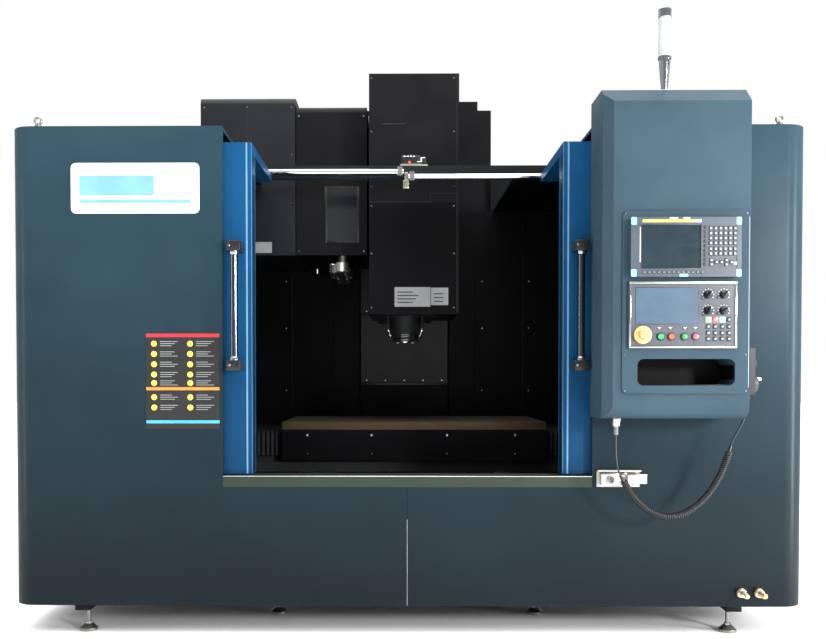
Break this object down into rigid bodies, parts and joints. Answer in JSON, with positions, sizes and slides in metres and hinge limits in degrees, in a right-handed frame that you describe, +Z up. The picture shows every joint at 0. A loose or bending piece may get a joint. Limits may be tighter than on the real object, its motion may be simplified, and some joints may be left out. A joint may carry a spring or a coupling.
{
  "type": "vertical machining center",
  "caption": "Vertical machining center with a sliding-door enclosure, moving table and head, side tool magazine, operator cabinet with hand wheel on a curly cord, and rear electrical cabinet.",
  "frame": {"origin": "on the floor, at the middle of the machine's footprint", "axes": "+X to the operator's right, +Y to the back, +Z up"},
  "size_m": [3.42, 3, 2.889],
  "materials": {
    "cast_iron": "painted dark casting",
    "sheet_paint": "dark slate fine texture paint",
    "door_paint": "blue satin paint",
    "cabinet_paint": "slate grey fine texture paint",
    "charcoal_paint": "charcoal satin paint",
    "steel": "ground steel",
    "cover_steel": "brushed steel plate",
    "chrome": "chrome plated",
    "sill_aluminium": "anodised aluminium",
    "silver_metal": "zinc plated and cast aluminium",
    "brass_fitting": "brass and chrome fittings",
    "window_glass": "laminated glass",
    "unit_plastic": "blue grey moulded plastic",
    "panel_plastic": "dark film keypad",
    "black_plastic": "black moulded plastic",
    "stop_yellow": "amber moulded plastic",
    "button_green": "green button cap",
    "button_red": "red button cap",
    "lamp_grey": "clear grey lens and chrome tube",
    "motor_paint": "black motor paint",
    "cord_rubber": "black polyurethane cord",
    "cover_folds": "black coated folded cover"
  },
  "bodies": {
    "root": {"base_casting": "cast_iron", "levelling_feet": "steel", "column": "cast_iron", "guide_rails": "steel", "axis_motors": "motor_paint", "splash_walls": "charcoal_paint", "front_left_panel": "sheet_paint", "front_right_panel": "sheet_paint", "side_panels": "sheet_paint", "roof_panels": "sheet_paint", "door_guide_rods": "chrome", "door_sill": "sill_aluminium", "chip_pan": "charcoal_paint", "lifting_eyes": "steel", "hose_couplings": "brass_fitting", "holder_bracket": "silver_metal", "magazine_cover": "charcoal_paint", "cam_box": "charcoal_paint", "operator_cabinet": "cabinet_paint", "nc_unit": "unit_plastic", "operator_panel": "panel_plastic", "signal_tower": "lamp_grey", "hand_wheel_box": "black_plastic", "power_cabinet": "sheet_paint", "y_cover": "cover_folds", "cord_lower_lead": "cord_rubber", "cord_coil": "cord_rubber", "cord_upper_lead": "cord_rubber"},
    "saddle": {"saddle": "cast_iron", "x_cover_left": "cover_folds", "x_cover_right": "cover_folds"},
    "table": {"table": "steel"},
    "x_screw": {"x_screw": "steel"},
    "y_screw": {"y_screw": "steel"},
    "z_screw": {"z_screw": "steel"},
    "head": {"head_casting": "cast_iron", "head_cover": "charcoal_paint", "spindle_motor": "motor_paint", "z_cover_upper": "cover_steel"},
    "spindle": {"spindle_shaft": "chrome"},
    "way_cover": {"z_cover_middle": "cover_steel"},
    "left_door": {"left_door": "door_paint", "left_window": "window_glass", "left_handle": "chrome"},
    "right_door": {"right_door": "door_paint", "right_window": "window_glass", "right_handle": "chrome"},
    "emergency_stop": {"emergency_stop": "stop_yellow"},
    "start_button": {"start_button": "button_green"},
    "stop_button": {"stop_button": "button_red"},
    "selector_1": {"selector_1": "black_plastic"},
    "selector_2": {"selector_2": "black_plastic"},
    "selector_3": {"selector_3": "black_plastic"},
    "selector_4": {"selector_4": "black_plastic"},
    "hand_wheel": {"hand_wheel": "black_plastic"},
    "axis_knob": {"axis_knob": "black_plastic"},
    "magazine_disc": {"magazine_disc": "steel"},
    "tool_arm": {"tool_arm": "steel"},
    "power_door": {"power_door": "sheet_paint"},
    "main_switch": {"main_switch": "button_red"}
  },
  "joints": [
    {"name": "y_axis", "type": "slide", "parent": "root", "child": "saddle", "axis": [0, 1, 0], "range_m": [-0.45, 0.25], "deforming": ["y_cover"]},
    {"name": "x_axis", "type": "slide", "parent": "saddle", "child": "table", "axis": [1, 0, 0], "range_m": [-0.695, 0.605], "deforming": ["x_cover_left", "x_cover_right"]},
    {"name": "z_axis", "type": "slide", "parent": "root", "child": "head", "axis": [0, 0, 1], "range_m": [-0.318, 0.382]},
    {"name": "spindle_spin", "type": "hinge", "parent": "head", "child": "spindle", "pos_m": [0, -0.05, 1.4], "axis": [0, 0, 1], "continuous": true},
    {"name": "way_cover_slide", "type": "slide", "parent": "root", "child": "way_cover", "axis": [0, 0, 1], "range_m": [-0.16, 0.192]},
    {"name": "x_screw_turn", "type": "hinge", "parent": "saddle", "child": "x_screw", "pos_m": [0, 0.05, 0.712], "axis": [1, 0, 0], "continuous": true},
    {"name": "y_screw_turn", "type": "hinge", "parent": "root", "child": "y_screw", "pos_m": [0, 0, 0.462], "axis": [0, 1, 0], "continuous": true},
    {"name": "z_screw_turn", "type": "hinge", "parent": "root", "child": "z_screw", "pos_m": [0, 0.805, 1.6], "axis": [0, 0, 1], "continuous": true},
    {"name": "left_door_slide", "type": "slide", "parent": "root", "child": "left_door", "axis": [1, 0, 0], "range_m": [0, 0.669]},
    {"name": "right_door_slide", "type": "slide", "parent": "root", "child": "right_door", "axis": [-1, 0, 0], "range_m": [0, 0.669]},
    {"name": "emergency_stop_push", "type": "slide", "parent": "root", "child": "emergency_stop", "axis": [0, 1, 0], "range_m": [0, 0.005], "stiffness_N_per_m": 3000},
    {"name": "start_push", "type": "slide", "parent": "root", "child": "start_button", "axis": [0, 1, 0], "range_m": [0, 0.004], "stiffness_N_per_m": 1000},
    {"name": "stop_push", "type": "slide", "parent": "root", "child": "stop_button", "axis": [0, 1, 0], "range_m": [0, 0.004], "stiffness_N_per_m": 1000},
    {"name": "spindle_override", "type": "hinge", "parent": "root", "child": "selector_1", "pos_m": [1.186, -1.463, 1.437], "axis": [0, -1, 0], "range_deg": [-105, 105]},
    {"name": "feed_override", "type": "hinge", "parent": "root", "child": "selector_2", "pos_m": [1.248, -1.463, 1.437], "axis": [0, -1, 0], "range_deg": [-135, 135]},
    {"name": "rapid_override", "type": "hinge", "parent": "root", "child": "selector_3", "pos_m": [1.186, -1.463, 1.374], "axis": [0, -1, 0], "range_deg": [-60, 60]},
    {"name": "mode_selector", "type": "hinge", "parent": "root", "child": "selector_4", "pos_m": [1.248, -1.463, 1.374], "axis": [0, -1, 0], "range_deg": [-105, 105]},
    {"name": "hand_wheel_turn", "type": "hinge", "parent": "root", "child": "hand_wheel", "pos_m": [1.396, -1.37, 1.081], "axis": [1, 0, 0], "continuous": true},
    {"name": "axis_knob_turn", "type": "hinge", "parent": "root", "child": "axis_knob", "pos_m": [1.396, -1.37, 1.166], "axis": [1, 0, 0], "range_deg": [-75, 75]},
    {"name": "magazine_turn", "type": "hinge", "parent": "root", "child": "magazine_disc", "pos_m": [-0.72, 0.295, 2.213], "axis": [1, 0, 0], "continuous": true},
    {"name": "tool_arm_stroke", "type": "slide", "parent": "root", "child": "tool_arm", "axis": [0, 0, 1], "range_m": [-0.115, 0]},
    {"name": "power_door_hinge", "type": "hinge", "parent": "root", "child": "power_door", "pos_m": [-0.558, 1.462, 1.35], "axis": [0, 0, 1], "range_deg": [0, 110]},
    {"name": "main_switch_turn", "type": "hinge", "parent": "power_door", "child": "main_switch", "pos_m": [0.4, 1.47, 1.6], "axis": [0, 1, 0], "range_deg": [0, 90]}
  ],
  "couplings": [
    {"joint": "way_cover_slide", "follows": "z_axis", "ratio": 0.5},
    {"joint": "x_screw_turn", "follows": "x_axis", "rad_per_m": 523.6},
    {"joint": "y_screw_turn", "follows": "y_axis", "rad_per_m": 523.6},
    {"joint": "z_screw_turn", "follows": "z_axis", "rad_per_m": 523.6}
  ]
}
